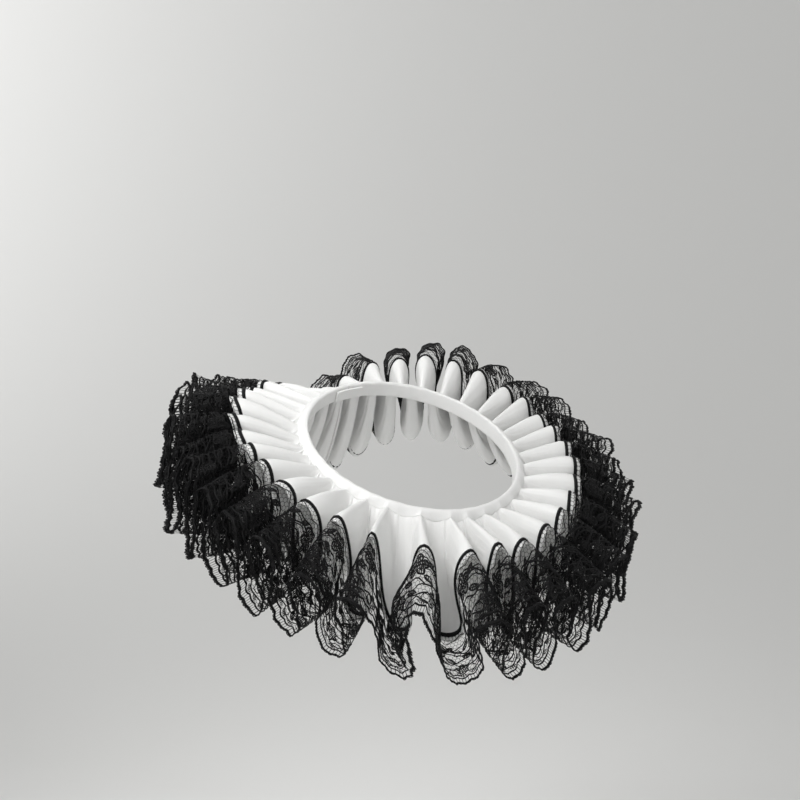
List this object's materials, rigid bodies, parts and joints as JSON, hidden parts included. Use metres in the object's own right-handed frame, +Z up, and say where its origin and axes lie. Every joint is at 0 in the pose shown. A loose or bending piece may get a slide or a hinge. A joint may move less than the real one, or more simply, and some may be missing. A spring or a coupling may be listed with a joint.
{
  "type": "ruffled collar",
  "caption": "Pleated white satin neck ruffle with a black floral lace edging, in its worn shape, closing at the back of the neck.",
  "frame": {"origin": "middle of the neck opening, in the plane of the neckband", "axes": "+Z up, -Y the wearer's front, +X the wearer's left; the collar leans 20.9 degrees towards the front, as it is worn"},
  "size_m": [0.2989, 0.2783, 0.1349],
  "materials": {
    "satin": "smooth white satin with a soft sheen",
    "lace": "black floral lace on a fine net"
  },
  "bodies": {
    "root": {"neckband": "satin", "back_tab": "satin", "satin_ruffle": "satin", "lace_edging": "lace"}
  },
  "joints": []
}
